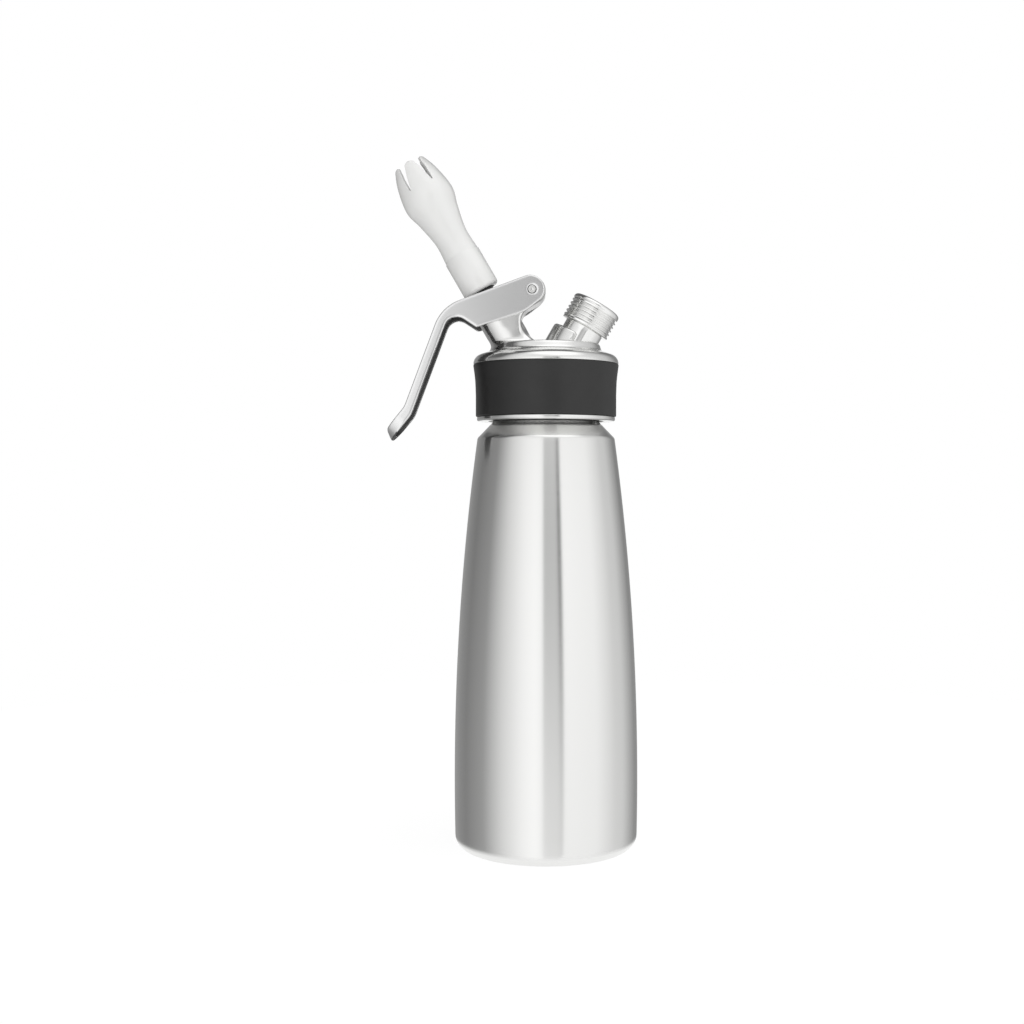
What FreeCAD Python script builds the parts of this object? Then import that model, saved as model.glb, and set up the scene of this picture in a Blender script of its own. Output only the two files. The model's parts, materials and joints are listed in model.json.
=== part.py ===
import FreeCAD, Part
import math
import os

V = FreeCAD.Vector

# Whipped cream dispenser of one litre, in millimetres.
# +Z is up, the lever hangs on the -X side and the charger connection points to +X.
# The origin is the centre of the bottle's foot, on the surface that it stands on.

# Bottle
belly_radius = 44.3
belly_height = 34.7
side_arc_radius = 1215.0
bottle_wall = 1.0
base_corner_radius = 7.0
foot_ring_width = 4.0
base_recess = 2.5
base_recess_round = 1.5
shoulder_round = 2.6
cone_angle = 46.0
neck_radius = 25.6
neck_throat_round = 1.5
rim_height = 229.5
shoulder_drop = 31.2
neck_ring_wall = 2.0
neck_ring_length = 18.5
neck_ring_chamfer = 0.8

# Head casting, its heights measured from the bottle's rim
head_foot_drop = 23.1
lip_radius = 33.5
lip_height = 2.3
lip_round = 0.6
skirt_radius = 31.6
flange_inset = 0.1
flange_foot_rise = 4.5
flange_shoulder_rise = 8.1
flange_round = 2.2
deck_foot_radius = 27.1
deck_foot_rise = 10.8
deck_top_radius = 26.0
deck_rise = 14.3
deck_thickness = 4.4
deck_edge_round = 0.7
deck_fillet = 1.0
edge_break = 0.4
root_depth = 1.0
neck_thread_gap = 0.3
gasket_thickness = 2.5
gasket_rib_radius = 22.0
gasket_rib_wall = 1.4
gasket_rib_drop = 2.2
gasket_rib_root_round = 1.0
gasket_gap = 0.3

# Silicone grip band round the skirt
band_radius = 34.1
band_top_radius = 35.3
band_flare_height = 15.0
band_flare_share = 0.28
band_edge_round = 0.5

# Valve, on an axis that leans towards the lever
valve_lean = 30.0
valve_x = -16.0
boss_radius = 9.5
boss_top = 16.4
seat_depth = 12.0
guide_foot = -6.0
guide_top = 9.0
guide_radius = 6.6
chamber_radius = 5.0
spring_well_radius = 7.2
stem_radius = 4.0
stem_bore_radius = 2.6
stem_gap = 0.06
stem_port_radius = 1.3
stem_port_height = -9.2
poppet_radius = 7.5
poppet_thickness = 1.6
poppet_chamfer = 0.6
stem_plug_length = 2.4
seal_thickness = 1.5
seal_inset = 0.2
ring_section = 0.85
ring_gap = 0.05
ring_groove_slack = 0.1
static_ring_section = 0.5
stem_ring_height = 1.0
static_ring_height = -3.4

# Valve spring
wire_diameter = 1.2
spring_mean_radius = 5.8
spring_length = 11.0
spring_turns = 5

# Spring cap, adapter and tip on the stem
cap_radius = 8.6
cap_thickness = 2.0
cap_pilot_length = 0.8
adapter_foot = 25.6
adapter_foot_radius = 4.7
adapter_flange_radius = 5.7
adapter_radius = 6.5
adapter_length = 10.5
adapter_chamfer = 1.0
adapter_flange_drop = 0.3
adapter_flange_rise = 0.8

# Decorator tip: lengths are measured up from its open foot
tip_foot = 29.8
tip_length = 73.4
tip_socket_radius = 9.1
tip_socket_length = 19.4
tip_foot_round = 1.9
tip_step = 0.35
tip_step_rise = 0.5
tip_neck_lift = 1.2
tip_shoulder_out = 0.6
tip_shoulder_lift = 1.8
tip_waist_radius = 8.35
tip_waist_height = 30.5
tip_bulb_radius = 12.8
tip_bulb_height = 52.0
tip_mouth_radius = 7.3
tip_wall = 1.5
tip_thread_gap = 0.12
tip_thread_depth = 14.0
tip_throat_radius = 5.6
tip_throat_rise = 2.0
petal_slit_pairs = 3
petal_slit_foot = 57.5
petal_slit_foot_width = 1.6
petal_slit_width = 3.9
petal_slit_round = 0.7

# Lever hinge, from the point where the valve axis leaves the deck
pin_along_valve = 17.5
pin_from_valve = 20.8
pin_radius = 2.0
pin_running_gap = 0.06
pin_proud = 0.25
pin_dimple_radius = 1.0
pin_dimple_depth = 0.6
lug_radius = 6.6
lug_half_width = 9.5
lug_throat_radius = 7.5
lug_foot_angle = 35.0
lug_neck_angle = 32.0
lug_foot_reach = 4.9
lug_back_inset = 0.1
lug_back_drop = 4.0

# Lever, a deep channel with an open underside
lever_half_width = 11.75
lever_wall = 1.9
lever_top_angle = 20.3
handle_angle = 69.5
paddle_angle = 50.6
ear_radius = 6.9
ear_setback = 0.8
ear_under_angle = 38.0
arm_length = 42.8
handle_length = 51.1
paddle_length = 13.7
handle_depth = 4.6
plate_depth = 15.1
plate_corner_reach = 30.6
plate_edge_angle = 18.0
plate_shin_angle = 33.3
bend_round = 20.0
arch_round = 6.0
knee_outer_round = 10.0
knee_inner_round = 12.0
plate_corner_round = 1.6
under_round = 18.0
paddle_end_lean = 18.0
paddle_end_depth = 6.2
paddle_end_round = 2.6
lever_hole_radius = 6.4
lever_hole_back = 2.6
lever_hole_front = 1.6
web_end_from_pin = 9.0
cam_radius = 2.5
cam_gap = 0.25
cam_inset = 0.4

# Charger connection, on an axis that leans the other way
charger_lean = 30.0
charger_x = 14.0
stub_length = 22.4
stub_thread_radius = 12.2
stub_thread_foot = 9.3
stub_top_round = 1.4
stub_foot_round = 0.8
stub_neck_radius = 9.7
stub_spigot_radius = 8.0
stub_spigot_depth = 7.5
charger_boss_radius = 10.0
charger_boss_depth = 12.0
charger_neck_radius = 4.7
charger_neck_depth = 11.0
charger_mouth_chamfer = 1.0
charger_seal_thickness = 1.5
charger_seal_gap = 0.1
pin_base_radius = 3.5
pin_base_length = 6.0
needle_radius = 1.1
needle_length = 7.0
needle_point = 1.8
needle_bore_radius = 0.45
needle_tip_wall = 0.1
filter_thickness = 1.5
gas_bore_radius = 1.0
gallery_radius = 5.0
gallery_depth = 1.0
gas_port_radius = 0.8
gas_port_circle = 3.6
gas_port_count = 3
gas_port_turn = 30.0
check_disc_radius = 5.8
check_disc_thickness = 1.2
check_screw_radius = 1.5
check_screw_head_radius = 3.0
check_screw_head_height = 2.0
check_screw_slot = 0.8

# Half collar of the casting, on the side of the stub that faces the valve
collar_radius = 13.6
collar_top = 4.4
collar_end = -2.0
collar_round = 0.9

# Values that follow from those above
shoulder_height = rim_height - shoulder_drop
bore_radius = neck_radius + neck_ring_wall + neck_thread_gap
head_foot = rim_height - head_foot_drop
band_foot = head_foot + lip_height
gasket_seat = rim_height + gasket_thickness
flange_radius = band_top_radius - flange_inset
flange_foot = rim_height + flange_foot_rise
flange_shoulder = rim_height + flange_shoulder_rise
deck_foot = rim_height + deck_foot_rise
deck_top = rim_height + deck_rise
ceiling = deck_top - deck_thickness
cap_foot = guide_top + spring_length
cap_top = cap_foot + cap_thickness
seal_foot = -seat_depth - seal_thickness
plate_inside = lever_half_width - lever_wall
charger_seat = stub_length - charger_neck_depth
needle_base_top = charger_seat - charger_seal_thickness
filter_top = needle_base_top - pin_base_length
gallery_foot = -stub_spigot_depth - gallery_depth

# How far a cut runs past the face that it opens, and a length beyond everything
cut_past = 1.0
far = 200.0

valve_frame = FreeCAD.Placement(V(valve_x, 0, deck_top), FreeCAD.Rotation(V(0, 1, 0), -valve_lean))
charger_frame = FreeCAD.Placement(V(charger_x, 0, deck_top), FreeCAD.Rotation(V(0, 1, 0), charger_lean))
pin_centre = valve_frame.multVec(V(pin_from_valve, 0, pin_along_valve))


def placed(shape, frame):
    moved = shape.copy()
    moved.Placement = frame.multiply(moved.Placement)
    return moved


def rounded_wire(corners, y=0.0):
    """A closed outline in the XZ plane. Each corner is (x, z) or (x, z, radius of its rounding)."""
    points = [V(corner[0], y, corner[1]) for corner in corners]
    radii = [corner[2] if len(corner) > 2 else 0.0 for corner in corners]
    count = len(points)
    arrive, leave, arcs = [], [], []
    for i in range(count):
        back = (points[i - 1] - points[i]).normalize()
        ahead = (points[(i + 1) % count] - points[i]).normalize()
        half = back.getAngle(ahead) / 2
        reach = radii[i] / math.tan(half)
        arrive.append(points[i] + back * reach)
        leave.append(points[i] + ahead * reach)
        if radii[i] > 0:
            to_centre = (back + ahead).normalize() * (radii[i] / math.sin(half))
            middle = points[i] + to_centre - to_centre.normalize() * radii[i]
            arcs.append(Part.Arc(arrive[i], middle, leave[i]).toShape())
        else:
            arcs.append(None)
    edges = []
    for i in range(count):
        if arcs[i] is not None:
            edges.append(arcs[i])
        start, end = leave[i], arrive[(i + 1) % count]
        if start.distanceToPoint(end) > 1e-6:
            edges.append(Part.LineSegment(start, end).toShape())
    return Part.Wire(edges)


def lathe(corners):
    """A solid turned about the Z axis from an outline of (radius, height) corners."""
    return Part.Face(rounded_wire(corners)).revolve(V(0, 0, 0), V(0, 0, 1), 360)


def slab(corners, half_width):
    """An outline in the XZ plane, thickened to both sides of it."""
    face = Part.Face(rounded_wire(corners, -half_width))
    return face.extrude(V(0, 2 * half_width, 0))


def rod(radius, start, end):
    return Part.makeCylinder(radius, end - start, V(0, 0, start))


def ring(outer, inner, start, end):
    return rod(outer, start, end).cut(rod(inner, start, end))


def torus(centre_radius, section_radius, height):
    return Part.makeTorus(centre_radius, section_radius, V(0, 0, height))


def above(height):
    """Everything higher than a height."""
    return Part.makeBox(2 * far, 2 * far, far, V(-far, -far, height))


def below(height):
    """Everything lower than a height."""
    return Part.makeBox(2 * far, 2 * far, far, V(-far, -far, height - far))


def heading(degrees):
    """A unit direction in the XZ plane, turned up from +X."""
    return V(math.cos(math.radians(degrees)), 0, math.sin(math.radians(degrees)))


def crossing(point_a, along_a, point_b, along_b):
    """Where two straight lines in the XZ plane meet."""
    gap = point_b - point_a
    spread = along_a.x * along_b.z - along_a.z * along_b.x
    steps = (gap.x * along_b.z - gap.z * along_b.x) / spread
    return point_a + along_a * steps


def corner(point, radius=0.0):
    return (point.x, point.z, radius)


def side_radius(height):
    return belly_radius - (height - belly_height) ** 2 / (2 * side_arc_radius)


def bottle_solid(inset, top):
    corner_radius = base_corner_radius - inset
    side_foot = base_corner_radius
    lean = math.radians(cone_angle)
    drop = inset * math.tan(lean / 2)
    shoulder_z = shoulder_height - drop
    cone_rise = (side_radius(shoulder_height) - neck_radius) * math.tan(lean)
    axis_foot = V(0, 0, inset)
    foot = V(side_radius(side_foot) - base_corner_radius, 0, inset)
    bend = foot + V(corner_radius * math.sin(math.pi / 4), 0, corner_radius * (1 - math.cos(math.pi / 4)))
    side = V(side_radius(side_foot) - inset, 0, side_foot)
    middle_z = (side_foot + shoulder_z) / 2
    middle = V(side_radius(middle_z) - inset, 0, middle_z)
    shoulder = V(side_radius(shoulder_z) - inset, 0, shoulder_z)
    throat = V(neck_radius - inset, 0, shoulder_height + cone_rise - drop)
    rim = V(neck_radius - inset, 0, top)
    edges = [
        Part.LineSegment(axis_foot, foot).toShape(),
        Part.Arc(foot, bend, side).toShape(),
        Part.Arc(side, middle, shoulder).toShape(),
        Part.LineSegment(shoulder, throat).toShape(),
        Part.LineSegment(throat, rim).toShape(),
        Part.LineSegment(rim, V(0, 0, top)).toShape(),
        Part.LineSegment(V(0, 0, top), axis_foot).toShape(),
    ]
    solid = Part.Face(Part.Wire(edges)).revolve(V(0, 0, 0), V(0, 0, 1), 360)
    shoulder_edge = [edge for edge in solid.Edges if is_ring(edge, shoulder)]
    throat_edge = [edge for edge in solid.Edges if is_ring(edge, throat)]
    solid = solid.makeFillet(shoulder_round - inset, shoulder_edge)
    throat_edge = [edge for edge in solid.Edges if is_ring(edge, throat)]
    return solid.makeFillet(neck_throat_round + inset, throat_edge)


def is_ring(edge, point):
    """Whether an edge is the circle that a point draws when it turns about the Z axis."""
    box = edge.BoundBox
    level = abs(box.ZMin - point.z) < 1e-4 and abs(box.ZMax - point.z) < 1e-4
    return level and abs(box.XMax - point.x) < 1e-3


def bottle_shell():
    shell = bottle_solid(0.0, rim_height)
    inside = bottle_solid(bottle_wall, rim_height + cut_past)
    dish_radius = side_radius(base_corner_radius) - base_corner_radius - foot_ring_width
    outer_dish = lathe([(0, -cut_past), (dish_radius, -cut_past), (dish_radius, 0),
                        (dish_radius - base_recess, base_recess, base_recess_round), (0, base_recess)])
    rise_radius = dish_radius + bottle_wall
    rise_top = base_recess + bottle_wall
    inner_dish = lathe([(0, 0), (rise_radius, 0), (rise_radius, bottle_wall),
                        (rise_radius - base_recess, rise_top, base_recess_round), (0, rise_top)])
    return shell.cut(inside.cut(inner_dish)).cut(outer_dish)


def bottle_neck_ring():
    outer = neck_radius + neck_ring_wall
    foot = rim_height - neck_ring_length
    return lathe([(neck_radius, foot), (outer - neck_ring_chamfer, foot), (outer, foot + neck_ring_chamfer),
                  (outer, rim_height - neck_ring_chamfer), (outer - neck_ring_chamfer, rim_height),
                  (neck_radius, rim_height)])


def head_gasket():
    return lathe([(gasket_rib_radius + gasket_gap, rim_height), (bore_radius - gasket_gap, rim_height),
                  (bore_radius - gasket_gap, gasket_seat), (gasket_rib_radius + gasket_gap, gasket_seat)])


def head_casting():
    rib_inside = gasket_rib_radius - gasket_rib_wall
    rib_foot = gasket_seat - gasket_rib_drop
    return lathe([
        (bore_radius, head_foot, edge_break), (lip_radius, head_foot, lip_round),
        (lip_radius, band_foot, edge_break), (skirt_radius, band_foot),
        (skirt_radius, flange_foot), (flange_radius, flange_foot, edge_break),
        (flange_radius, flange_shoulder, flange_round), (deck_foot_radius, deck_foot, edge_break),
        (deck_top_radius, deck_top, deck_edge_round), (0, deck_top), (0, ceiling),
        (rib_inside, ceiling, gasket_rib_root_round), (rib_inside, rib_foot, edge_break),
        (gasket_rib_radius, rib_foot, edge_break), (gasket_rib_radius, gasket_seat),
        (bore_radius, gasket_seat),
    ])


def valve_boss():
    return placed(rod(boss_radius, -seat_depth, boss_top), valve_frame)


def lever_lug():
    """The lug that carries the lever pin, with its round throat and its foot on the deck."""
    neck_tangent = pin_centre + heading(lug_neck_angle - 90) * lug_radius
    foot = V(valve_x + boss_radius + lug_foot_reach, 0, deck_top - root_depth)
    throat = crossing(neck_tangent, heading(lug_neck_angle), foot, heading(180 - lug_foot_angle))
    lug_back = pin_from_valve - lug_radius + lug_back_inset
    back_high = valve_frame.multVec(V(lug_back, 0, pin_along_valve + root_depth))
    back_low = valve_frame.multVec(V(boss_radius - root_depth, 0, boss_top - lug_back_drop))
    root = V(valve_x, 0, deck_top - root_depth)
    block = slab([corner(foot), corner(throat, lug_throat_radius), corner(neck_tangent), corner(pin_centre),
                  corner(back_high), corner(back_low), corner(root)], lug_half_width)
    eye = Part.makeCylinder(lug_radius, 2 * lug_half_width, pin_centre - V(0, lug_half_width, 0), V(0, 1, 0))
    return block.fuse(eye)


def half_collar():
    """A half ring of the casting that hugs the neck of the charger connection."""
    whole = lathe([(stub_neck_radius, -charger_boss_depth), (collar_radius, -charger_boss_depth),
                   (collar_radius, collar_top, collar_round), (stub_neck_radius, collar_top)])
    side = Part.makeBox(far, 2 * far, far, V(collar_end - far, -far, -far / 2))
    return placed(whole.common(side), charger_frame).common(above(deck_top - root_depth))


def charger_boss():
    boss = placed(rod(charger_boss_radius, -charger_boss_depth, stub_length), charger_frame)
    return boss.common(below(deck_top))


def leaves_deck(edge):
    """Whether an edge lies where a raised part of the casting leaves the deck, clear of the stub."""
    box = edge.BoundBox
    level = abs(box.ZMin - deck_top) < 1e-3 and abs(box.ZMax - deck_top) < 1e-3
    middle = charger_frame.inverse().multVec(edge.valueAt((edge.FirstParameter + edge.LastParameter) / 2))
    clear = math.hypot(middle.x, middle.y) > stub_neck_radius + deck_fillet
    return level and clear and not isinstance(edge.Curve, Part.Circle)


def head_body():
    body = head_casting().fuse([valve_boss(), lever_lug(), charger_boss(), half_collar()]).removeSplitter()
    body = body.makeFillet(deck_fillet, [edge for edge in body.Edges if leaves_deck(edge)])
    hollows = [rod(chamber_radius, -seat_depth - cut_past, guide_foot),
               rod(guide_radius, guide_foot, guide_top),
               rod(spring_well_radius, guide_top, cap_top)]
    for hollow in hollows:
        body = body.cut(placed(hollow, valve_frame))
    foot = -charger_boss_depth - cut_past
    hollows = [rod(stub_spigot_radius, -stub_spigot_depth, stub_length),
               rod(gallery_radius, gallery_foot, -stub_spigot_depth),
               rod(check_screw_radius, foot, gallery_foot)]
    for step in range(gas_port_count):
        turn = math.radians(360 / gas_port_count * step + gas_port_turn)
        port = rod(gas_port_radius, foot, gallery_foot)
        port.translate(V(gas_port_circle * math.cos(turn), gas_port_circle * math.sin(turn), 0))
        hollows.append(port)
    for hollow in hollows:
        body = body.cut(placed(hollow, charger_frame))
    hinge = Part.makeCylinder(pin_radius, 2 * far, pin_centre - V(0, far, 0), V(0, 1, 0))
    return body.cut(hinge)


def grip_band():
    flare_foot = V(band_radius, 0, flange_foot - band_flare_height)
    flare_bow = V(band_radius + band_flare_share * (band_top_radius - band_radius), 0,
                  flange_foot - band_flare_height / 2)
    flare_top = V(band_top_radius, 0, flange_foot - band_edge_round)
    foot_inside = V(skirt_radius, 0, band_foot)
    foot_outside = V(band_radius - band_edge_round, 0, band_foot)
    round_top = V(band_radius, 0, band_foot + band_edge_round)
    round_inset = band_edge_round * (1 - math.sin(math.pi / 4))
    round_middle = V(band_radius - round_inset, 0, band_foot + round_inset)
    top_outside = V(band_top_radius - band_edge_round, 0, flange_foot)
    top_inside = V(skirt_radius, 0, flange_foot)
    edges = [
        Part.LineSegment(foot_inside, foot_outside),
        Part.Arc(foot_outside, round_middle, round_top),
        Part.LineSegment(round_top, flare_foot),
        Part.Arc(flare_foot, flare_bow, flare_top),
        Part.LineSegment(flare_top, top_outside),
        Part.LineSegment(top_outside, top_inside),
        Part.LineSegment(top_inside, foot_inside),
    ]
    face = Part.Face(Part.Wire([edge.toShape() for edge in edges]))
    return face.revolve(V(0, 0, 0), V(0, 0, 1), 360)


def valve_guide():
    """The bush that the stem slides in, with a groove inside and one outside for its rings."""
    bore = stem_radius + stem_gap
    inner_groove = stem_radius + ring_gap + 2 * ring_section
    outer_groove = guide_radius - 2 * static_ring_section
    bush = ring(guide_radius, bore, guide_foot, guide_top)
    inside_half = ring_section + ring_groove_slack
    bush = bush.cut(rod(inner_groove, stem_ring_height - inside_half, stem_ring_height + inside_half))
    outside_half = static_ring_section + ring_groove_slack
    groove = ring(guide_radius + cut_past, outer_groove, static_ring_height - outside_half,
                  static_ring_height + outside_half)
    return placed(bush.cut(groove), valve_frame)


def stem_ring():
    centre_radius = stem_radius + ring_gap + ring_section
    return placed(torus(centre_radius, ring_section, stem_ring_height), valve_frame)


def guide_ring():
    centre_radius = guide_radius - static_ring_section
    return placed(torus(centre_radius, static_ring_section, static_ring_height), valve_frame)


def valve_stem():
    """A hollow stem with side ports, a closed foot and the poppet that shuts the seat."""
    poppet_foot = seal_foot - poppet_thickness
    stem_top = tip_foot + adapter_length
    stem = rod(stem_radius, poppet_foot - stem_plug_length, stem_top)
    stem = stem.fuse(lathe([(0, poppet_foot), (poppet_radius - poppet_chamfer, poppet_foot),
                            (poppet_radius, poppet_foot + poppet_chamfer), (poppet_radius, seal_foot),
                            (0, seal_foot)]))
    stem = stem.cut(rod(stem_bore_radius, -seat_depth, stem_top + cut_past))
    port_length = 4 * stem_radius
    for turn in (0, 90):
        port_end = V(-port_length / 2, 0, stem_port_height)
        port = Part.makeCylinder(stem_port_radius, port_length, port_end, V(1, 0, 0))
        port.rotate(V(0, 0, 0), V(0, 0, 1), turn)
        stem = stem.cut(port)
    return placed(stem, valve_frame)


def valve_seal():
    return placed(ring(poppet_radius - seal_inset, stem_radius, seal_foot, -seat_depth), valve_frame)


def spring_cap():
    pilot_radius = spring_mean_radius - wire_diameter
    pilot_foot = cap_foot - cap_pilot_length
    cap = lathe([(stem_radius, pilot_foot), (pilot_radius, pilot_foot), (pilot_radius, cap_foot),
                 (cap_radius, cap_foot, edge_break), (cap_radius, cap_top, edge_break),
                 (stem_radius, cap_top)])
    return placed(cap, valve_frame)


def tip_adapter():
    """The threaded adapter on top of the stem, with a flared foot under the tip."""
    foot = adapter_foot
    top = tip_foot + adapter_length
    body = lathe([(stem_radius, foot), (adapter_foot_radius, foot),
                  (adapter_flange_radius, tip_foot - adapter_flange_drop),
                  (adapter_radius, tip_foot + adapter_flange_rise), (adapter_radius, top - adapter_chamfer),
                  (adapter_radius - adapter_chamfer, top), (stem_radius, top)])
    return placed(body, valve_frame)


def joined_arcs(start, start_way, end, end_way):
    """Two arcs that leave one point and reach another along given directions."""
    span = end - start
    across = 2 * (start_way.dot(end_way) - 1)
    along = -2 * span.dot(start_way + end_way)
    reach = (-along - math.sqrt(along * along - 4 * across * span.dot(span))) / (2 * across)
    if reach < 0:
        reach = (-along + math.sqrt(along * along - 4 * across * span.dot(span))) / (2 * across)
    first_knot = start + start_way * reach
    last_knot = end - end_way * reach
    joint = (first_knot + last_knot) * 0.5
    arcs = []
    for one, knot, two in ((start, first_knot, joint), (joint, last_knot, end)):
        weight = one.distanceToPoint(two) / 2 / one.distanceToPoint(knot)
        middle = ((one + two) * 0.5 + knot * weight) * (1 / (1 + weight))
        arcs.append(Part.Arc(one, middle, two).toShape())
    return arcs


def spring_point(turn):
    rise = spring_length - wire_diameter
    angle = 2 * math.pi * turn
    height = guide_top + wire_diameter / 2 + rise * turn / spring_turns
    point = V(spring_mean_radius * math.cos(angle), spring_mean_radius * math.sin(angle), height)
    way = V(-spring_mean_radius * math.sin(angle), spring_mean_radius * math.cos(angle),
            rise / spring_turns / (2 * math.pi))
    return point, way.normalize()


def valve_spring():
    """A compression spring, each quarter turn made of two arcs."""
    edges = []
    for quarter in range(4 * spring_turns):
        start, start_way = spring_point(quarter / 4)
        end, end_way = spring_point((quarter + 1) / 4)
        edges.extend(joined_arcs(start, start_way, end, end_way))
    path = Part.Wire(edges)
    start, start_way = spring_point(0)
    section = Part.Wire([Part.Circle(start, start_way, wire_diameter / 2).toShape()])
    coil = path.makePipeShell([section], True, False)
    gap = (spring_length - wire_diameter) / spring_turns - wire_diameter
    print("valve spring: least gap between turns %.2f mm" % gap)
    return placed(coil, valve_frame)


def tip_outline():
    """Radius of the decorator tip at each height of its neck, bulb and mouth."""
    neck_radius_half = (tip_waist_radius + tip_bulb_radius) / 2
    neck_height_half = (tip_waist_height + tip_bulb_height) / 2
    shoulder_radius_half = (tip_bulb_radius + tip_mouth_radius) / 2
    shoulder_height_half = (tip_bulb_height + tip_length) / 2
    return [
        V(tip_socket_radius - tip_step, 0, tip_socket_length + tip_step_rise),
        V(tip_waist_radius, 0, tip_waist_height),
        V(neck_radius_half, 0, neck_height_half + tip_neck_lift),
        V(tip_bulb_radius, 0, tip_bulb_height),
        V(shoulder_radius_half + tip_shoulder_out, 0, shoulder_height_half + tip_shoulder_lift),
        V(tip_mouth_radius, 0, tip_length),
    ]


def tip_curve(inset):
    curve = Part.BSplineCurve()
    curve.interpolate([point - V(inset, 0, 0) for point in tip_outline()])
    return curve.toShape()


def decorator_tip():
    """A soft plastic tulip tip: a plain socket, a slim neck and a bulb that ends in petals."""
    outline = tip_outline()
    top = V(0, 0, tip_length)
    start = outline[0]
    socket_top = V(tip_socket_radius, 0, tip_socket_length)
    round_middle = tip_foot_round * (1 - math.sin(math.pi / 4))
    outer = [
        Part.LineSegment(V(0, 0, 0), V(tip_socket_radius - tip_foot_round, 0, 0)).toShape(),
        Part.Arc(V(tip_socket_radius - tip_foot_round, 0, 0),
                 V(tip_socket_radius - round_middle, 0, round_middle),
                 V(tip_socket_radius, 0, tip_foot_round)).toShape(),
        Part.LineSegment(V(tip_socket_radius, 0, tip_foot_round), socket_top).toShape(),
        Part.LineSegment(socket_top, start).toShape(),
        tip_curve(0.0),
        Part.LineSegment(outline[-1], top).toShape(),
        Part.LineSegment(top, V(0, 0, 0)).toShape(),
    ]
    tip = Part.Face(Part.Wire(outer)).revolve(V(0, 0, 0), V(0, 0, 1), 360)
    inner_start = start - V(tip_wall, 0, 0)
    inner_end = outline[-1] - V(tip_wall, 0, 0)
    throat_foot = V(0, 0, tip_thread_depth + tip_throat_rise)
    throat = throat_foot + V(tip_throat_radius, 0, 0)
    cut_top = tip_length + cut_past
    mouth = inner_end + V(0, 0, cut_past)
    inner = [
        Part.LineSegment(throat_foot, throat).toShape(),
        Part.LineSegment(throat, inner_start).toShape(),
        tip_curve(tip_wall),
        Part.LineSegment(inner_end, mouth).toShape(),
        Part.LineSegment(mouth, V(0, 0, cut_top)).toShape(),
        Part.LineSegment(V(0, 0, cut_top), throat_foot).toShape(),
    ]
    tip = tip.cut(Part.Face(Part.Wire(inner)).revolve(V(0, 0, 0), V(0, 0, 1), 360))
    tip = tip.cut(rod(tip_throat_radius, -cut_past, throat.z + cut_past))
    tip = tip.cut(rod(adapter_radius + tip_thread_gap, -cut_past, tip_thread_depth))
    slit = slab([(-petal_slit_foot_width / 2, petal_slit_foot, petal_slit_round),
                 (petal_slit_foot_width / 2, petal_slit_foot, petal_slit_round),
                 (petal_slit_width / 2, cut_top), (-petal_slit_width / 2, cut_top)], far)
    slit.rotate(V(0, 0, 0), V(0, 0, 1), 90)
    for pair in range(petal_slit_pairs):
        tip = tip.cut(slit)
        slit.rotate(V(0, 0, 0), V(0, 0, 1), 180 / petal_slit_pairs)
    tip.translate(V(0, 0, tip_foot))
    return placed(tip, valve_frame)


def lever_corners():
    """The corners of the lever's side view, worked out from its pin, angles and lengths."""
    top_way, handle_way, paddle_way = (heading(180 + angle) for angle in
                                       (lever_top_angle, handle_angle, paddle_angle))
    ear = pin_centre - V(ear_setback, 0, 0)
    ear_top = ear + heading(lever_top_angle + 90) * ear_radius
    bend = ear_top + top_way * arm_length
    knee = bend + handle_way * handle_length
    paddle_end = knee + paddle_way * paddle_length
    paddle_low = paddle_end + heading(-90 + paddle_end_lean) * paddle_end_depth
    depth_way = heading(handle_angle - 90)
    inner_handle = bend + depth_way * handle_depth
    inner_knee = crossing(inner_handle, handle_way, paddle_low, paddle_way)
    plate_low = ear_top + top_way * plate_corner_reach + heading(lever_top_angle - 90) * plate_depth
    arch = crossing(inner_handle, handle_way, plate_low, heading(180 - plate_shin_angle))
    ear_under = ear + heading(ear_under_angle - 90) * ear_radius
    under = crossing(plate_low, heading(plate_edge_angle), ear_under, heading(ear_under_angle))
    return {"ear": ear, "ear_top": ear_top, "bend": bend, "knee": knee, "paddle_end": paddle_end,
            "paddle_low": paddle_low, "inner_knee": inner_knee, "arch": arch, "plate_low": plate_low,
            "under": under, "ear_under": ear_under}


def paddle_plan(radius, centre, way):
    """The outline of the paddle seen square on: straight sides and a full round end."""
    across = V(0, 1, 0)
    normal = way.cross(across)
    back = centre - way * far
    corners = [back + across * radius, centre + across * radius, centre + way * radius,
               centre - across * radius, back - across * radius]
    edges = [
        Part.LineSegment(corners[0], corners[1]).toShape(),
        Part.Arc(corners[1], corners[2], corners[3]).toShape(),
        Part.LineSegment(corners[3], corners[4]).toShape(),
        Part.LineSegment(corners[4], corners[0]).toShape(),
    ]
    face = Part.Face(Part.Wire(edges))
    face.translate(normal * -far)
    return face.extrude(normal * 2 * far)


def lever_blank():
    at = lever_corners()
    side = slab([corner(at["ear_top"]), corner(at["bend"], bend_round), corner(at["knee"], knee_outer_round),
                 corner(at["paddle_end"], paddle_end_round), corner(at["paddle_low"], edge_break),
                 corner(at["inner_knee"], knee_inner_round), corner(at["arch"], arch_round),
                 corner(at["plate_low"], plate_corner_round), corner(at["under"], under_round),
                 corner(at["ear_under"]), corner(at["ear"])], lever_half_width)
    eye_end = at["ear"] - V(0, lever_half_width, 0)
    eye = Part.makeCylinder(ear_radius, 2 * lever_half_width, eye_end, V(0, 1, 0))
    return side.fuse(eye).removeSplitter()


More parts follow.
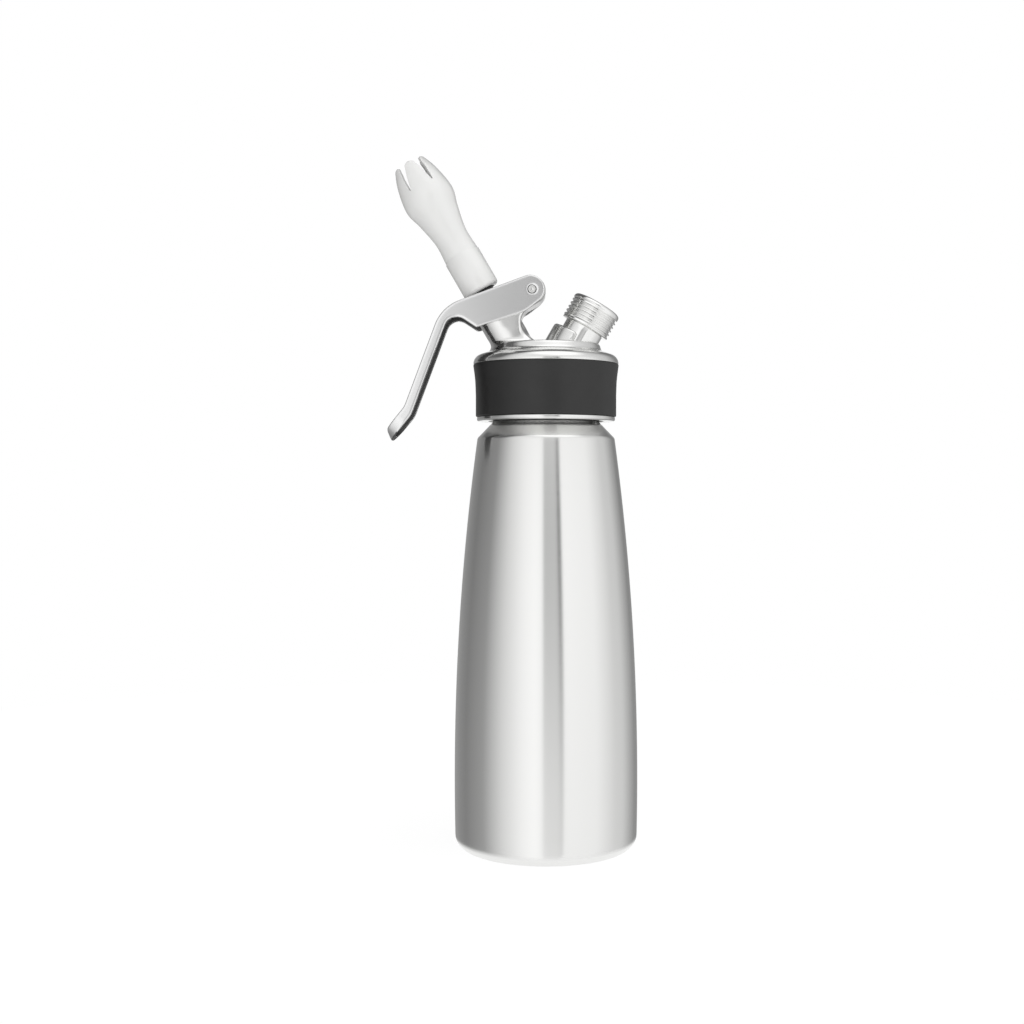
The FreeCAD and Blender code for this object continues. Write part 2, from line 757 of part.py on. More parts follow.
def lever():
    """A channel with a hollow underside, a hole for the stem and two cam noses that press the cap."""
    at = lever_corners()
    top_way, handle_way, paddle_way = (heading(180 + angle) for angle in
                                       (lever_top_angle, handle_angle, paddle_angle))
    end_centre = at["paddle_low"] - paddle_way * lever_half_width
    body = lever_blank().common(paddle_plan(lever_half_width, end_centre, paddle_way))
    inside_top = at["ear_top"] + heading(lever_top_angle - 90) * lever_wall
    handle_inside = at["bend"] + heading(handle_angle - 90) * lever_wall
    paddle_inside = at["knee"] + heading(paddle_angle - 90) * lever_wall
    inside_bend = crossing(inside_top, top_way, handle_inside, handle_way)
    inside_knee = crossing(inside_bend, handle_way, paddle_inside, paddle_way)
    inside_start = inside_top - top_way * arm_length
    inside_end = inside_knee + paddle_way * 2 * paddle_length
    drop = heading(paddle_angle - 90) * arm_length * 2
    hollow = slab([corner(inside_start), corner(inside_bend, bend_round - lever_wall),
                   corner(inside_knee, knee_outer_round + lever_wall), corner(inside_end),
                   corner(inside_end + drop), corner(inside_start + drop)], plate_inside)
    body = body.cut(hollow.common(paddle_plan(plate_inside, end_centre, paddle_way)))
    lug_room = Part.makeBox(far, 2 * plate_inside, far, V(-web_end_from_pin, -plate_inside, -far / 2))
    along_top = FreeCAD.Placement(pin_centre, FreeCAD.Rotation(V(0, 1, 0), -lever_top_angle))
    body = body.cut(placed(lug_room, along_top))
    hole_top = tip_foot + adapter_length
    hole_back = rod(lever_hole_radius, cap_top, hole_top)
    hole_back.translate(V(-lever_hole_back, 0, 0))
    hole_front = rod(lever_hole_radius, cap_top, hole_top)
    hole_front.translate(V(lever_hole_front, 0, 0))
    hole_middle = Part.makeBox(lever_hole_back + lever_hole_front, 2 * lever_hole_radius, hole_top - cap_top,
                               V(-lever_hole_back, -lever_hole_radius, cap_top))
    body = body.cut(placed(hole_back.fuse([hole_front, hole_middle]), valve_frame))
    nose_height = cap_top + cam_gap + cam_radius
    nose_inner = lever_hole_radius + cam_inset
    for side in (-1, 1):
        nose = Part.makeCylinder(cam_radius, plate_inside + lever_wall / 2 - nose_inner,
                                 V(0, side * nose_inner, nose_height), V(0, side, 0))
        body = body.fuse(placed(nose, valve_frame))
    hinge = Part.makeCylinder(pin_radius + pin_running_gap, 2 * far, pin_centre - V(0, far, 0), V(0, 1, 0))
    return body.cut(hinge).removeSplitter()


def lever_pin():
    """The hinge pin, its ends a little proud of the lever and dimpled."""
    half = lever_half_width + pin_proud
    pin = rod(pin_radius, -half, half)
    for end in (-1, 1):
        dimple = Part.makeCone(pin_dimple_radius, 0, pin_dimple_depth, V(0, 0, end * half), V(0, 0, -end))
        pin = pin.cut(dimple)
    return placed(pin, FreeCAD.Placement(pin_centre, FreeCAD.Rotation(V(1, 0, 0), 90)))


def charger_stub():
    """The connection that a charger holder screws onto, pressed into the casting."""
    relief = stub_thread_foot + stub_foot_round
    outside = lathe([(0, -stub_spigot_depth), (stub_neck_radius, -stub_spigot_depth),
                     (stub_neck_radius, stub_thread_foot, edge_break),
                     (stub_thread_radius, stub_thread_foot, stub_foot_round),
                     (stub_thread_radius, stub_length, stub_top_round), (0, stub_length)])
    body = placed(outside, charger_frame).common(above(deck_top))
    spigot = placed(rod(stub_spigot_radius, -stub_spigot_depth, relief), charger_frame)
    body = body.fuse(spigot).removeSplitter()
    filter_foot = filter_top - filter_thickness
    mouth = Part.makeCone(charger_neck_radius, charger_neck_radius + 2 * charger_mouth_chamfer,
                          2 * charger_mouth_chamfer, V(0, 0, stub_length - charger_mouth_chamfer))
    hollows = [mouth, rod(charger_neck_radius, needle_base_top, stub_length),
               rod(pin_base_radius, filter_foot, needle_base_top),
               rod(gas_bore_radius, -stub_spigot_depth - cut_past, filter_foot)]
    for hollow in hollows:
        body = body.cut(placed(hollow, charger_frame))
    return body


def charger_seal():
    inner = needle_radius + charger_seal_gap
    return placed(ring(charger_neck_radius, inner, needle_base_top, charger_seat), charger_frame)


def piercing_pin():
    """The hollow needle that opens a charger, on its screwed base."""
    tip = needle_base_top + needle_length
    pin = lathe([(0, filter_top), (pin_base_radius, filter_top), (pin_base_radius, needle_base_top),
                 (needle_radius, needle_base_top), (needle_radius, tip - needle_point),
                 (needle_bore_radius + needle_tip_wall, tip), (0, tip)])
    return placed(pin.cut(rod(needle_bore_radius, filter_top - cut_past, tip + cut_past)), charger_frame)


def gas_filter():
    return placed(rod(pin_base_radius, filter_top - filter_thickness, filter_top), charger_frame)


def check_disc():
    """The rubber disc of the non-return valve, under the gas ports."""
    top = -charger_boss_depth
    return placed(ring(check_disc_radius, check_screw_radius, top - check_disc_thickness, top), charger_frame)


def check_screw():
    """The slotted screw that holds the rubber disc."""
    top = -charger_boss_depth - check_disc_thickness
    head = rod(check_screw_head_radius, top - check_screw_head_height, top)
    slot = Part.makeBox(4 * check_screw_head_radius, check_screw_slot, check_screw_slot,
                        V(-2 * check_screw_head_radius, -check_screw_slot / 2, top - check_screw_head_height))
    return placed(head.cut(slot).fuse(rod(check_screw_radius, top, gallery_foot)), charger_frame)


pieces = {
    "bottle_shell": bottle_shell,
    "bottle_neck_ring": bottle_neck_ring,
    "head_gasket": head_gasket,
    "head_body": head_body,
    "grip_band": grip_band,
    "valve_guide": valve_guide,
    "guide_ring": guide_ring,
    "stem_ring": stem_ring,
    "lever_pin": lever_pin,
    "charger_stub": charger_stub,
    "charger_seal": charger_seal,
    "piercing_pin": piercing_pin,
    "gas_filter": gas_filter,
    "check_disc": check_disc,
    "check_screw": check_screw,
    "lever": lever,
    "valve_stem": valve_stem,
    "valve_seal": valve_seal,
    "valve_spring": valve_spring,
    "spring_cap": spring_cap,
    "tip_adapter": tip_adapter,
    "decorator_tip": decorator_tip,
}

os.makedirs("parts", exist_ok=True)
for name, make in pieces.items():
    shape = make()
    box = shape.BoundBox
    print("%-18s solids %d  valid %s  %.0f mm3  z %.1f to %.1f" % (
        name, len(shape.Solids), shape.isValid(), shape.Volume, box.ZMin, box.ZMax))
    shape.exportStep("parts/%s.step" % name)
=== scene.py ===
# %% [markdown]
# A whipped cream dispenser, dressed over its construction model.
# The model gives every piece its real size and place. Here the pieces that show are made
# again as a maker would shape them, and all of them get their finish: brushed, satin and
# polished steel, silicone, black plastic, whose black under the tip is partly painted shade,
# and a milky plastic tip.

# %% Load the construction model
import json
import math
import bpy
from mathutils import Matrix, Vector

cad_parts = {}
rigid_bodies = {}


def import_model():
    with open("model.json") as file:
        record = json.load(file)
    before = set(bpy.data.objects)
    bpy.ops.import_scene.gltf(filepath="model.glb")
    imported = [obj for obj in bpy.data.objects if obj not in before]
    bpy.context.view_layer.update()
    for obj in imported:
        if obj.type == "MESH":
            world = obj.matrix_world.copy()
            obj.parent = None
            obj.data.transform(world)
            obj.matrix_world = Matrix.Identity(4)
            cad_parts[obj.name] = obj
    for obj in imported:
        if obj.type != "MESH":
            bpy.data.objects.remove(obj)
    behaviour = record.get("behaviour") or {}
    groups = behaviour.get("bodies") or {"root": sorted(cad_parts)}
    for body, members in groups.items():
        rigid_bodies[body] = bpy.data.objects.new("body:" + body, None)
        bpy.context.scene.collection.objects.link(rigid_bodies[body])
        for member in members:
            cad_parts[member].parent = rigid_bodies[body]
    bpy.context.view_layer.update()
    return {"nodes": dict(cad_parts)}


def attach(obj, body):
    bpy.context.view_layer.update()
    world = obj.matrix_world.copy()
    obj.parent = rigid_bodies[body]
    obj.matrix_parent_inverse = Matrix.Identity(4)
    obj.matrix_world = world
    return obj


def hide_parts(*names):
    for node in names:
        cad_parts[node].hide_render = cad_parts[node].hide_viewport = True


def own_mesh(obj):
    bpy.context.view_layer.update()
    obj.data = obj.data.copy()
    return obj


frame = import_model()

nodes = frame["nodes"]
scene = bpy.context.scene

# %% [markdown]
# Lengths are in metres, so a millimetre gets a name. The head carries two leaning axes, the
# valve's and the charger connection's. Both leave the deck at one height and lean by 30 degrees,
# the valve towards the lever and the connection the other way. Sizes that one piece alone needs
# stand with that piece.

# %% Sizes that several pieces share
mm = 0.001
deck_top = 243.8 * mm
rim_height = 229.5 * mm
neck_radius = 25.6 * mm
lean = math.radians(30)
valve_x = -16.0 * mm
charger_x = 14.0 * mm
valve_axis = Vector((-math.sin(lean), 0, math.cos(lean)))
valve_foot = Vector((valve_x, 0, deck_top))
print("deck at", round(deck_top / mm, 1), "mm, valve axis", [round(v, 3) for v in valve_axis])

# %% [markdown]
# Blender's operators act on whatever is selected. Before a new piece starts, nothing may be
# selected, and no mesh may still be open in edit mode.

# %% Helpers: selection
def clear_selection():
    if bpy.context.object and bpy.context.object.mode != "OBJECT":
        bpy.ops.object.mode_set(mode="OBJECT")
    bpy.ops.object.select_all(action="DESELECT")


def pick(piece):
    clear_selection()
    piece.select_set(True)
    bpy.context.view_layer.objects.active = piece


# %% [markdown]
# Most of this object is round, so most of it starts as an outline of radius and height. A maker
# draws such an outline with straight lines and then rounds its corners, and so does this helper.
# Free curves, such as the tip's bulb, run smoothly through a few given points instead.

# %% Helpers: outlines
def rounded(corners, steps=5):
    """Points of an outline of (radius, height, rounding) corners. Both ends stay sharp."""
    points = []
    for i, (x, z, rounding) in enumerate(corners):
        here = Vector((x, z))
        if rounding == 0 or i in (0, len(corners) - 1):
            points.append(here)
            continue
        back = (Vector(corners[i - 1][:2]) - here).normalized()
        ahead = (Vector(corners[i + 1][:2]) - here).normalized()
        half = back.angle(ahead) / 2
        centre = here + (back + ahead).normalized() * (rounding / math.sin(half))
        reach = rounding / math.tan(half)
        first = (here + back * reach - centre).normalized()
        last = (here + ahead * reach - centre).normalized()
        for step in range(steps + 1):
            points.append(centre + first.slerp(last, step / steps) * rounding)
    return points


def flowing(points, steps):
    """A smooth curve through some points: at each it heads from the one before to the one after."""
    curve = [points[0]]
    for i in range(len(points) - 1):
        start, end = points[i], points[i + 1]
        leave = (end - points[max(i - 1, 0)]) / (2 if i > 0 else 1)
        arrive = (points[min(i + 2, len(points) - 1)] - start) / (2 if i + 2 < len(points) else 1)
        for step in range(1, steps + 1):
            t = step / steps
            curve.append(start * (2 * t ** 3 - 3 * t ** 2 + 1) + leave * (t ** 3 - 2 * t ** 2 + t)
                         + end * (3 * t ** 2 - 2 * t ** 3) + arrive * (t ** 3 - t ** 2))
    return curve


# %% [markdown]
# A round piece is pulled up from a circle, as a potter pulls up a wall: each step extrudes the
# ring, lifts it and scales it to the next radius of the outline. A closed outline makes a ring
# with a wall all round. An open one gets a flat cap at both ends.

# %% Helper: turned pieces
def turned(name, profile, segments, closed=True):
    """A round piece from the points of its outline, each a radius and a height."""
    clear_selection()
    start = profile[0]
    bpy.ops.mesh.primitive_circle_add(vertices=segments, radius=start.x, location=(0, 0, start.y))
    piece = bpy.context.object
    piece.name = name
    bpy.ops.object.transform_apply(location=True, rotation=False, scale=False)
    bpy.ops.object.mode_set(mode="EDIT")
    bpy.ops.mesh.select_mode(type="VERT")
    bpy.ops.mesh.select_all(action="SELECT")
    path = list(profile[1:]) + ([start] if closed else [])
    before = start
    for point in path:
        lift = {"value": (0, 0, point.y - before.y)}
        bpy.ops.mesh.extrude_region_move(TRANSFORM_OT_translate=lift)
        grow = point.x / before.x
        bpy.ops.transform.resize(value=(grow, grow, 1), center_override=(0, 0, point.y))
        before = point
    if not closed:
        for first in (0, len(path) * segments):
            bpy.ops.mesh.select_all(action="DESELECT")
            bpy.ops.object.mode_set(mode="OBJECT")
            for vertex in piece.data.vertices[first:first + segments]:
                vertex.select = True
            bpy.ops.object.mode_set(mode="EDIT")
            bpy.ops.mesh.edge_face_add()
    bpy.ops.mesh.select_all(action="SELECT")
    bpy.ops.mesh.remove_doubles(threshold=1e-6)
    bpy.ops.mesh.normals_make_consistent(inside=False)
    bpy.ops.object.mode_set(mode="OBJECT")
    print(name, "has", len(piece.data.polygons), "faces")
    return piece


# %% [markdown]
# Wedges and slits start as a flat outline, drawn point by point and thickened, and one shape can
# cut another.

# %% Helper: plates drawn point by point
def plate(name, outline, half_depth):
    """A flat outline in the XZ plane, drawn by extruding one point, filled and thickened."""
    clear_selection()
    bpy.ops.mesh.primitive_plane_add(size=1 * mm, location=(0, 0, 0))
    piece = bpy.context.object
    piece.name = name
    bpy.ops.object.mode_set(mode="EDIT")
    bpy.ops.mesh.select_mode(type="VERT")
    bpy.ops.mesh.select_all(action="SELECT")
    bpy.ops.mesh.merge(type="CENTER")
    pen = Vector((0, 0))
    for i, point in enumerate(outline):
        move = {"value": (point.x - pen.x, -half_depth if i == 0 else 0, point.y - pen.y)}
        if i == 0:
            bpy.ops.transform.translate(**move)
        else:
            bpy.ops.mesh.extrude_region_move(TRANSFORM_OT_translate=move)
        pen = point
    bpy.ops.mesh.select_all(action="SELECT")
    bpy.ops.mesh.edge_face_add()
    bpy.ops.mesh.extrude_region_move(TRANSFORM_OT_translate={"value": (0, 2 * half_depth, 0)})
    bpy.ops.mesh.select_all(action="SELECT")
    bpy.ops.mesh.normals_make_consistent(inside=False)
    bpy.ops.object.mode_set(mode="OBJECT")
    return piece


def cut_with(piece, tool, how):
    """Cuts a piece with a tool, or keeps what both share. The tool is used up."""
    pick(piece)
    bpy.ops.object.modifier_add(type="BOOLEAN")
    cut = piece.modifiers[-1]
    cut.operation = how
    cut.object = tool
    bpy.ops.object.modifier_apply(modifier=cut.name)
    bpy.data.objects.remove(tool)


# %% [markdown]
# A cast piece already has its form in the construction model, but with knife-sharp edges and
# corners that no polished casting has. Bevels would have to find every edge where two rough
# forms meet. Instead the copy is cast anew: a voxel remesh lays one even skin of small squares
# over it, and a little smoothing then rounds every edge and fills every corner, as a
# foundry's mould and a polishing wheel do.

# %% Helpers: cast copies, smooth shading and finish
def copy_of(node_name, name):
    """A merged copy of one of the construction model's pieces, free to be worked on."""
    pick(nodes[node_name])
    bpy.ops.object.duplicate()
    piece = bpy.context.object
    bpy.ops.object.parent_clear(type="CLEAR_KEEP_TRANSFORM")
    for key in list(piece.keys()):
        del piece[key]
    piece.name = name
    bpy.ops.object.mode_set(mode="EDIT")
    bpy.ops.mesh.select_all(action="SELECT")
    bpy.ops.mesh.remove_doubles(threshold=1e-6)
    bpy.ops.object.mode_set(mode="OBJECT")
    if piece.data.has_custom_normals:
        bpy.ops.mesh.customdata_custom_splitnormals_clear()
    return piece


def cast(piece, grain, rounds):
    """Gives a piece one even skin of squares, as wide as the grain, and smooths it a few rounds."""
    pick(piece)
    bpy.ops.object.modifier_add(type="REMESH")
    skin = piece.modifiers[-1]
    skin.mode = "VOXEL"
    skin.voxel_size = grain
    bpy.ops.object.modifier_apply(modifier=skin.name)
    polish(piece, rounds)
    print(piece.name, "cast with", len(piece.data.polygons), "faces")


def polish(piece, rounds, where=None):
    """Smooths a piece, all over or as far as a function of a point says, from 0 to 1."""
    pick(piece)
    bpy.ops.object.modifier_add(type="SMOOTH")
    wheel = piece.modifiers[-1]
    wheel.factor = 0.5
    wheel.iterations = rounds
    if where:
        share = piece.vertex_groups.new(name="polished")
        for vertex in piece.data.vertices:
            weight = where(vertex.co)
            if weight > 0:
                share.add([vertex.index], min(weight, 1), "REPLACE")
        wheel.vertex_group = share.name
    bpy.ops.object.modifier_apply(modifier=wheel.name)
    piece.vertex_groups.clear()


def smooth(piece, degrees):
    """Shades a piece smooth, but for edges sharper than an angle."""
    pick(piece)
    bpy.ops.object.shade_smooth_by_angle(angle=math.radians(degrees))


def lean_on_deck(piece, x, angle):
    """Stands a piece that was made upright at the origin on one of the deck's leaning axes."""
    pick(piece)
    piece.rotation_euler = (0, angle, 0)
    piece.location = (x, 0, deck_top)
    bpy.ops.object.transform_apply(location=True, rotation=True, scale=False)


def dress(piece, material):
    piece.data.materials.clear()
    piece.data.materials.append(material)


def settle(piece, node_name, body, material):
    """Gives a new piece its finish and the body it moves with, and hides the node that it stands for."""
    dress(piece, material)
    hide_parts(node_name)
    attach(piece, body)


# %% [markdown]
# Brushed and polished metal is all reflection, so its finish is made of three things: how rough
# it is, which way the fine scratches run, and how uneven it is. The scratches are a noise,
# squeezed across the brushing so that it becomes lines. One node group serves every metal.

# %% Node group: fine scratches
def scratches_group():
    group = bpy.data.node_groups.new("fine_scratches", "ShaderNodeTree")
    for name, kind in (("Coordinates", "NodeSocketVector"), ("Fineness", "NodeSocketFloat"),
                       ("Base Roughness", "NodeSocketFloat"), ("Spread", "NodeSocketFloat")):
        group.interface.new_socket(name, in_out="INPUT", socket_type=kind)
    for name in ("Roughness", "Height"):
        group.interface.new_socket(name, in_out="OUTPUT", socket_type="NodeSocketFloat")
    put, link = group.nodes.new, group.links.new
    inlet, outlet = put("NodeGroupInput"), put("NodeGroupOutput")
    fine, broad = put("ShaderNodeTexNoise"), put("ShaderNodeTexNoise")
    fine.inputs["Detail"].default_value = 3
    broad.inputs["Scale"].default_value = 22
    broad.inputs["Detail"].default_value = 2
    link(inlet.outputs["Coordinates"], fine.inputs["Vector"])
    link(inlet.outputs["Fineness"], fine.inputs["Scale"])
    link(inlet.outputs["Coordinates"], broad.inputs["Vector"])
    both, centred, spread, total = (put("ShaderNodeMath") for step in range(4))
    both.operation, centred.operation = "ADD", "SUBTRACT"
    spread.operation, total.operation = "MULTIPLY", "ADD"
    centred.inputs[1].default_value = 1.0
    total.use_clamp = True
    link(fine.outputs["Fac"], both.inputs[0])
    link(broad.outputs["Fac"], both.inputs[1])
    link(both.outputs[0], centred.inputs[0])
    link(centred.outputs[0], spread.inputs[0])
    link(inlet.outputs["Spread"], spread.inputs[1])
    link(spread.outputs[0], total.inputs[0])
    link(inlet.outputs["Base Roughness"], total.inputs[1])
    link(total.outputs[0], outlet.inputs["Roughness"])
    link(fine.outputs["Fac"], outlet.inputs["Height"])
    return group


scratches = scratches_group()
print("node group:", scratches.name)


# %% [markdown]
# Every metal starts the same way: a Principled shader, object coordinates, and a Mapping node
# that squeezes them across the brushing. Numbers that are the same all over sit on the shader
# itself. Where scratches all run one way, the reflections smear across them: the bottle is
# brushed round its axis, so its bands stay sharp sideways and blur upwards.

# %% Metals
def metal(name, colour, roughness, spread, squeeze, fineness, relief, anisotropy=0.0):
    """A metal's roughness and how much it varies, and its scratches: their squeeze, fineness and depth."""
    material = bpy.data.materials.new(name)
    material.use_nodes = True
    put, link = material.node_tree.nodes.new, material.node_tree.links.new
    shader = material.node_tree.nodes["Principled BSDF"]
    shader.inputs["Base Color"].default_value = (*colour, 1)
    shader.inputs["Metallic"].default_value = 1.0
    shader.inputs["Anisotropic"].default_value = anisotropy
    place, squeezed = put("ShaderNodeTexCoord"), put("ShaderNodeMapping")
    lines, bump = put("ShaderNodeGroup"), put("ShaderNodeBump")
    lines.node_tree = scratches
    squeezed.inputs["Scale"].default_value = squeeze
    lines.inputs["Fineness"].default_value = fineness
    lines.inputs["Base Roughness"].default_value = roughness
    lines.inputs["Spread"].default_value = spread
    bump.inputs["Strength"].default_value = relief
    bump.inputs["Distance"].default_value = 0.02 * mm
    link(place.outputs["Object"], squeezed.inputs["Vector"])
    link(squeezed.outputs["Vector"], lines.inputs["Coordinates"])
    link(lines.outputs["Roughness"], shader.inputs["Roughness"])
    link(lines.outputs["Height"], bump.inputs["Height"])
    link(bump.outputs["Normal"], shader.inputs["Normal"])
    if anisotropy:
        upwards = put("ShaderNodeCombineXYZ")
        upwards.inputs["Z"].default_value = 1.0
        link(upwards.outputs["Vector"], shader.inputs["Tangent"])
    print("material:", name)
    return material


evenly, round_the_axis = (1, 1, 1), (1, 1, 6)
bottle_steel = metal("brushed_bottle_steel", (0.82, 0.82, 0.81), roughness=0.20, spread=0.05,
                     squeeze=(1, 1, 40), fineness=60, relief=0.03, anisotropy=0.8)
head_steel = metal("satin_head_steel", (0.82, 0.82, 0.81), roughness=0.17, spread=0.05,
                   squeeze=round_the_axis, fineness=300, relief=0.01)
lever_steel = metal("satin_lever_steel", (0.80, 0.80, 0.80), roughness=0.15, spread=0.04,
                    squeeze=round_the_axis, fineness=300, relief=0.01)
# Painted shade: a dark metal for the faces inside the lever's hollow, standing in for the shade there.
hollow_shade_steel = metal("painted_shade_lever_inside", (0.13, 0.13, 0.13), roughness=0.50, spread=0.10,
                  squeeze=evenly, fineness=700, relief=0.10)
bright_steel = metal("polished_steel", (0.86, 0.86, 0.85), roughness=0.10, spread=0.02,
                     squeeze=evenly, fineness=200, relief=0.0)
plain_steel = metal("turned_steel", (0.66, 0.66, 0.66), roughness=0.28, spread=0.08,
                    squeeze=(1, 1, 8), fineness=400, relief=0.03)
bronze = metal("sintered_bronze", (0.62, 0.46, 0.28), roughness=0.55, spread=0.2,
               squeeze=evenly, fineness=2500, relief=0.6)


# %% [markdown]
# Silicone, rubber and plastic carry their own colour. A soft grain and a faint cloudiness keep
# them from looking like paint. The tip is milky: light sinks in a few millimetres and comes out
# again, which subsurface scattering gives.

# %% Rubbers and plastics
def moulded(name, colour, roughness, grain, relief, cloud=0.2):
    """A moulded material: its colour, how fine and how deep its grain is, and how cloudy its colour."""
    material = bpy.data.materials.new(name)
    material.use_nodes = True
    put, link = material.node_tree.nodes.new, material.node_tree.links.new
    shader = material.node_tree.nodes["Principled BSDF"]
    place, fine, bump = put("ShaderNodeTexCoord"), put("ShaderNodeTexNoise"), put("ShaderNodeBump")
    fine.inputs["Scale"].default_value = grain
    fine.inputs["Detail"].default_value = 4
    bump.inputs["Strength"].default_value = 0.3
    bump.inputs["Distance"].default_value = relief * mm
    rough, cloudy, tint = put("ShaderNodeMapRange"), put("ShaderNodeTexNoise"), put("ShaderNodeMix")
    uneven = 0.06
    rough.inputs["To Min"].default_value = roughness - uneven
    rough.inputs["To Max"].default_value = roughness + uneven
    cloudy.inputs["Scale"].default_value = 160
    cloudy.inputs["Detail"].default_value = 6
    tint.data_type = "RGBA"
    for inlet, level in zip([s for s in tint.inputs if s.type == "RGBA"], (1 - cloud, 1 + cloud)):
        inlet.default_value = (*[c * level for c in colour], 1)
    tinted = [s for s in tint.outputs if s.type == "RGBA"][0]
    link(place.outputs["Object"], fine.inputs["Vector"])
    link(place.outputs["Object"], cloudy.inputs["Vector"])
    link(fine.outputs["Fac"], bump.inputs["Height"])
    link(fine.outputs["Fac"], rough.inputs["Value"])
    link(cloudy.outputs["Fac"], tint.inputs["Factor"])
    link(tinted, shader.inputs["Base Color"])
    link(rough.outputs["Result"], shader.inputs["Roughness"])
    link(bump.outputs["Normal"], shader.inputs["Normal"])
    print("material:", name)
    return material


silicone = moulded("black_silicone", (0.011, 0.011, 0.011), roughness=0.40, grain=1400, relief=0.03, cloud=0.3)
seal_rubber = moulded("seal_rubber", (0.03, 0.03, 0.03), roughness=0.6, grain=900, relief=0.03)
# The adapter under the tip is black plastic, and its black also stands in for the shade under the tip: partly
# painted shade.
black_plastic = moulded("black_plastic", (0.012, 0.012, 0.012), roughness=0.35, grain=900, relief=0.01)
milky = moulded("milky_plastic", (0.77, 0.77, 0.76), roughness=0.20, grain=300, relief=0.001, cloud=0.0)
milky_shader = milky.node_tree.nodes["Principled BSDF"]
milky_shader.inputs["Subsurface Weight"].default_value = 0.5
milky_shader.inputs["Subsurface Radius"].default_value = (1.0, 1.0, 1.0)
milky_shader.inputs["Subsurface Scale"].default_value = 1.5 * mm
milky_shader.inputs["IOR"].default_value = 1.6
milky_shader.inputs["Coat Weight"].default_value = 0.7
milky_shader.inputs["Coat Roughness"].default_value = 0.12

# %% [markdown]
# The pieces inside the head are seen only when it comes off, but each still gets its true
# finish. The construction model's own meshes are smooth enough for them. Those that are made
# again below get their finish here too, so that no piece of the model is left bare.

# %% Finishes of the construction model's pieces
finishes = {
    "bottle_shell": bottle_steel, "bottle_neck_ring": plain_steel, "head_gasket": seal_rubber,
    "head_body": head_steel, "grip_band": silicone, "valve_guide": plain_steel, "guide_ring": seal_rubber,
    "stem_ring": seal_rubber, "lever": lever_steel, "lever_pin": bright_steel, "charger_stub": bright_steel,
    "charger_seal": seal_rubber, "piercing_pin": bright_steel, "gas_filter": bronze,
    "check_disc": seal_rubber, "check_screw": plain_steel, "valve_stem": plain_steel,
    "valve_seal": seal_rubber, "valve_spring": bright_steel, "spring_cap": plain_steel,
    "tip_adapter": black_plastic, "decorator_tip": milky,
}
for name, material in finishes.items():
    dress(nodes[name], material)
print(len(finishes), "nodes dressed")

# %% [markdown]
# The bottle is drawn from sheet steel: a slim barrel with its belly low down, a steep shoulder, a
# straight neck and a dished base that stands on a ring. It could be a cylinder with a
# subdivision modifier, but its side is one long arc with crisp ends, so it is turned from an
# outline instead, outer skin first and then the inside, one millimetre away.

# %% Bottle
belly_radius = 44.3 * mm
belly_height = 34.7 * mm
side_arc = 1215 * mm
wall = 1.0 * mm
base_round = 7.0 * mm
shoulder_height = 198.3 * mm
shoulder_round, throat_round = 2.6 * mm, 1.5 * mm
cone_slope = math.tan(math.radians(46))
cone_share = math.tan(math.radians(23))


def side_radius(z):
    """The bottle's radius at a height: one long arc that is widest at the belly."""
    return belly_radius - (z - belly_height) ** 2 / (2 * side_arc)


def bottle_skin(inset, steps=30):
    """The bottle's outline from its foot up to the rim, moved inwards by a wall's thickness."""
    foot = side_radius(base_round) - base_round
    drop = inset * cone_share
    shoulder = shoulder_height - drop
    throat = shoulder_height + (side_radius(shoulder_height) - neck_radius) * cone_slope - drop
    arc = base_round - inset
    corner = [Vector((foot + arc * math.sin(math.radians(a)), base_round - arc * math.cos(math.radians(a))))
              for a in range(0, 91, 10)]
    side_end = shoulder - 2.5 * mm
    side = [Vector((side_radius(z) - inset, z)) for z in
            (base_round + (side_end - base_round) * step / steps for step in range(1, steps + 1))]
    upper = rounded([(side[-1].x, side[-1].y, 0),
                     (side_radius(shoulder) - inset, shoulder, shoulder_round - inset),
                     (neck_radius - inset, throat, throat_round + inset),
                     (neck_radius - inset, rim_height, 0)], 8)
    return corner + side + upper[1:]


foot_ring, centre, dish_height, dish_round = 4 * mm, 4 * mm, 2.5 * mm, 1.5 * mm
dish = side_radius(base_round) - base_round - foot_ring
outer_dish = rounded([(centre, dish_height, 0), (dish - dish_height, dish_height, dish_round), (dish, 0, 0)])
inner_dish = rounded([(dish + wall, wall, 0), (dish + wall - dish_height, dish_height + wall, dish_round),
                      (centre, dish_height + wall, 0)])
bottle = turned("bottle_skin", outer_dish + bottle_skin(0) + bottle_skin(wall)[::-1] + inner_dish, 192, False)
smooth(bottle, 35)
settle(bottle, "bottle_shell", "bottle", bottle_steel)

# %% [markdown]
# A screw thread is a ridge that climbs round a rod. A ring with many close rows of points is
# turned first, and then each point of its wall is pressed inwards by how far it lies from the
# ridge. The groove dies out at both ends, as it does where a cutter leaves the metal.

# %% Helper: threads
def close_rows(radius, foot, top, spacing):
    """Points up a straight wall, close enough together to carry a thread."""
    rows = round((top - foot) / spacing)
    return [Vector((radius, foot + (top - foot) * row / rows)) for row in range(1, rows)]


def press_thread(piece, crest_radius, foot, top, pitch, depth):
    """Presses a climbing groove into the wall of a turned piece, between two heights."""
    moved, touching = 0, 0.05 * mm
    for vertex in piece.data.vertices:
        x, y, z = vertex.co
        if foot < z < top and abs(math.hypot(x, y) - crest_radius) < touching:
            turn = z / pitch - math.atan2(y, x) / (2 * math.pi)
            groove = (1 - math.cos(2 * math.pi * turn)) / 2
            fade = min(1, (z - foot) / pitch, (top - z) / (0.6 * pitch))
            shrink = 1 - depth * groove * fade / crest_radius
            vertex.co = (x * shrink, y * shrink, z)
            moved += 1
    print(piece.name, "thread pressed into", moved, "points")


# %% [markdown]
# The ring on the bottle's neck carries the coarse thread that the head screws onto.

